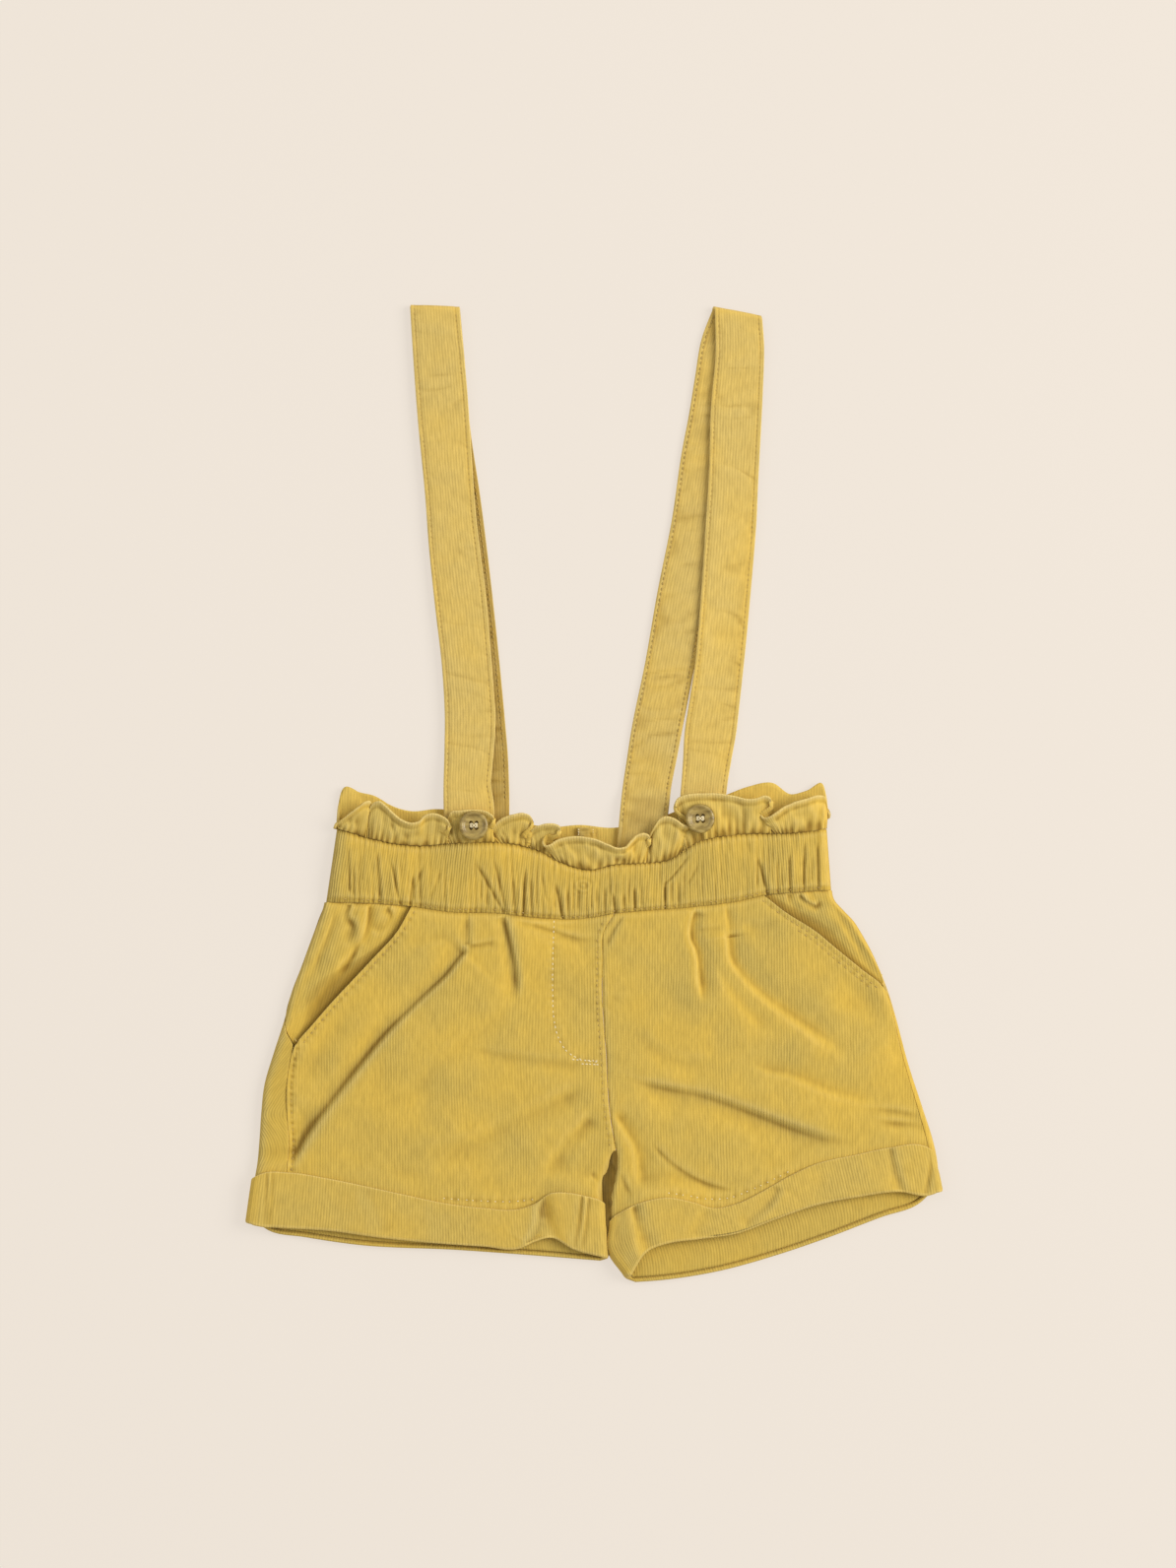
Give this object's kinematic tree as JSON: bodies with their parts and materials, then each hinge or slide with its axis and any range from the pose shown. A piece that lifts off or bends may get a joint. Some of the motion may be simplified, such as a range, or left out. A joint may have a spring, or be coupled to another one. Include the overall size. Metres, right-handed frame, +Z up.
{
  "type": "baby shorts",
  "caption": "Mustard needlecord baby shorts with a frilled elastic waist, slanted hip pockets, turned-up hems and buttoned shoulder straps, laid flat.",
  "frame": {"origin": "on the surface the shorts lie on, under the middle of their outline with the straps", "axes": "+Z up off the surface out of the front, +Y from the hems to the straps' upper ends, +X towards the viewer's right as the front is seen from above"},
  "size_m": [0.3019, 0.4224, 0.0125],
  "materials": {
    "corduroy": "matte",
    "horn": "satin",
    "thread": "matte"
  },
  "bodies": {
    "root": {"back_left": "corduroy", "back_right": "corduroy", "front_left": "corduroy", "front_right": "corduroy", "hip_facing_left": "corduroy", "hip_facing_right": "corduroy", "waistband_front": "corduroy", "waistband_back": "corduroy", "frill_front": "corduroy", "frill_back": "corduroy", "cuff_left": "corduroy", "cuff_right": "corduroy", "strap_left": "corduroy", "strap_right": "corduroy", "button_left": "horn", "button_right": "horn"}
  },
  "joints": []
}
